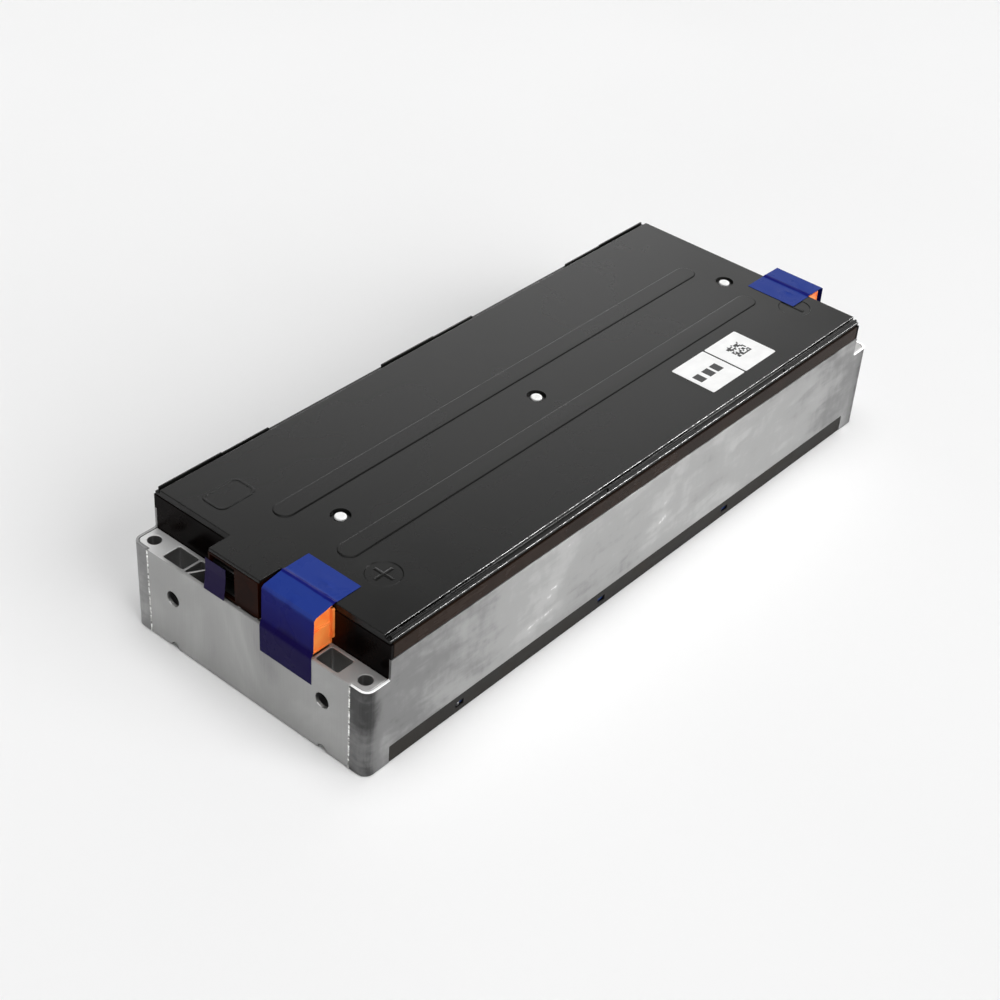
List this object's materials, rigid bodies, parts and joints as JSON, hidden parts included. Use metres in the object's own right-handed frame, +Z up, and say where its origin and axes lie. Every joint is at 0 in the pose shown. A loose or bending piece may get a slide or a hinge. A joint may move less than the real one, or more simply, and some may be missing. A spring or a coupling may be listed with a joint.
{
  "type": "ev battery module",
  "caption": "Long prismatic-cell traction battery module in an aluminium frame, with black cover, orange terminal covers under blue tape and extruded end plates.",
  "frame": {"origin": "middle of the underside, on the plane the module rests on", "axes": "+X from the end with the signal connector to the other end, +Y to the side away from both power terminals, +Z up"},
  "size_m": [0.5912, 0.225, 0.1094],
  "materials": {
    "end_plate_aluminium": "extruded and sawn, fine grain",
    "side_sheet_aluminium": "rolled sheet with scuffs and weld seams",
    "tray_plastic": "moulded, matt",
    "cell_film": "blue insulating film over the can",
    "pad_foam": "compressible foam",
    "frame_plastic": "moulded, satin to gloss",
    "busbar_aluminium": "stamped, bright",
    "flex_film": "amber film circuit",
    "nut_steel": "plated",
    "connector_plastic": "moulded",
    "cover_plastic": "moulded, fine grain",
    "rivet_plastic": "moulded",
    "orange_plastic": "moulded, satin",
    "blue_tape": "plastic film tape",
    "label_film": "printed label"
  },
  "bodies": {
    "root": {"front_end_plate": "end_plate_aluminium", "rear_end_plate": "end_plate_aluminium", "left_side_plate": "side_sheet_aluminium", "right_side_plate": "side_sheet_aluminium", "bottom_insulation_tray": "tray_plastic", "cell_01": "cell_film", "cell_02": "cell_film", "cell_03": "cell_film", "cell_04": "cell_film", "cell_05": "cell_film", "cell_06": "cell_film", "cell_07": "cell_film", "cell_08": "cell_film", "cell_09": "cell_film", "cell_10": "cell_film", "cell_11": "cell_film", "cell_12": "cell_film", "cell_13": "cell_film", "cell_14": "cell_film", "cell_15": "cell_film", "cell_16": "cell_film", "spacer_pad_1": "pad_foam", "spacer_pad_2": "pad_foam", "spacer_pad_3": "pad_foam", "spacer_pad_4": "pad_foam", "spacer_pad_5": "pad_foam", "spacer_pad_6": "pad_foam", "spacer_pad_7": "pad_foam", "front_end_pad": "pad_foam", "rear_end_pad": "pad_foam", "contact_carrier": "frame_plastic", "link_busbar_1": "busbar_aluminium", "link_busbar_2": "busbar_aluminium", "link_busbar_3": "busbar_aluminium", "link_busbar_4": "busbar_aluminium", "link_busbar_5": "busbar_aluminium", "link_busbar_6": "busbar_aluminium", "link_busbar_7": "busbar_aluminium", "positive_output_busbar": "busbar_aluminium", "negative_output_busbar": "busbar_aluminium", "sensing_flex_circuit": "flex_film", "front_end_frame": "frame_plastic", "rear_end_frame": "frame_plastic", "front_terminal_nut": "nut_steel", "rear_terminal_nut": "nut_steel", "signal_connector": "connector_plastic", "top_cover": "cover_plastic", "cover_rivet_1": "rivet_plastic", "cover_rivet_2": "rivet_plastic", "cover_rivet_3": "rivet_plastic", "front_terminal_cover": "orange_plastic", "rear_terminal_cover": "orange_plastic", "front_terminal_tape": "blue_tape", "rear_terminal_tape": "blue_tape", "connector_tape": "blue_tape", "code_label": "label_film", "plain_label": "label_film"}
  },
  "joints": []
}
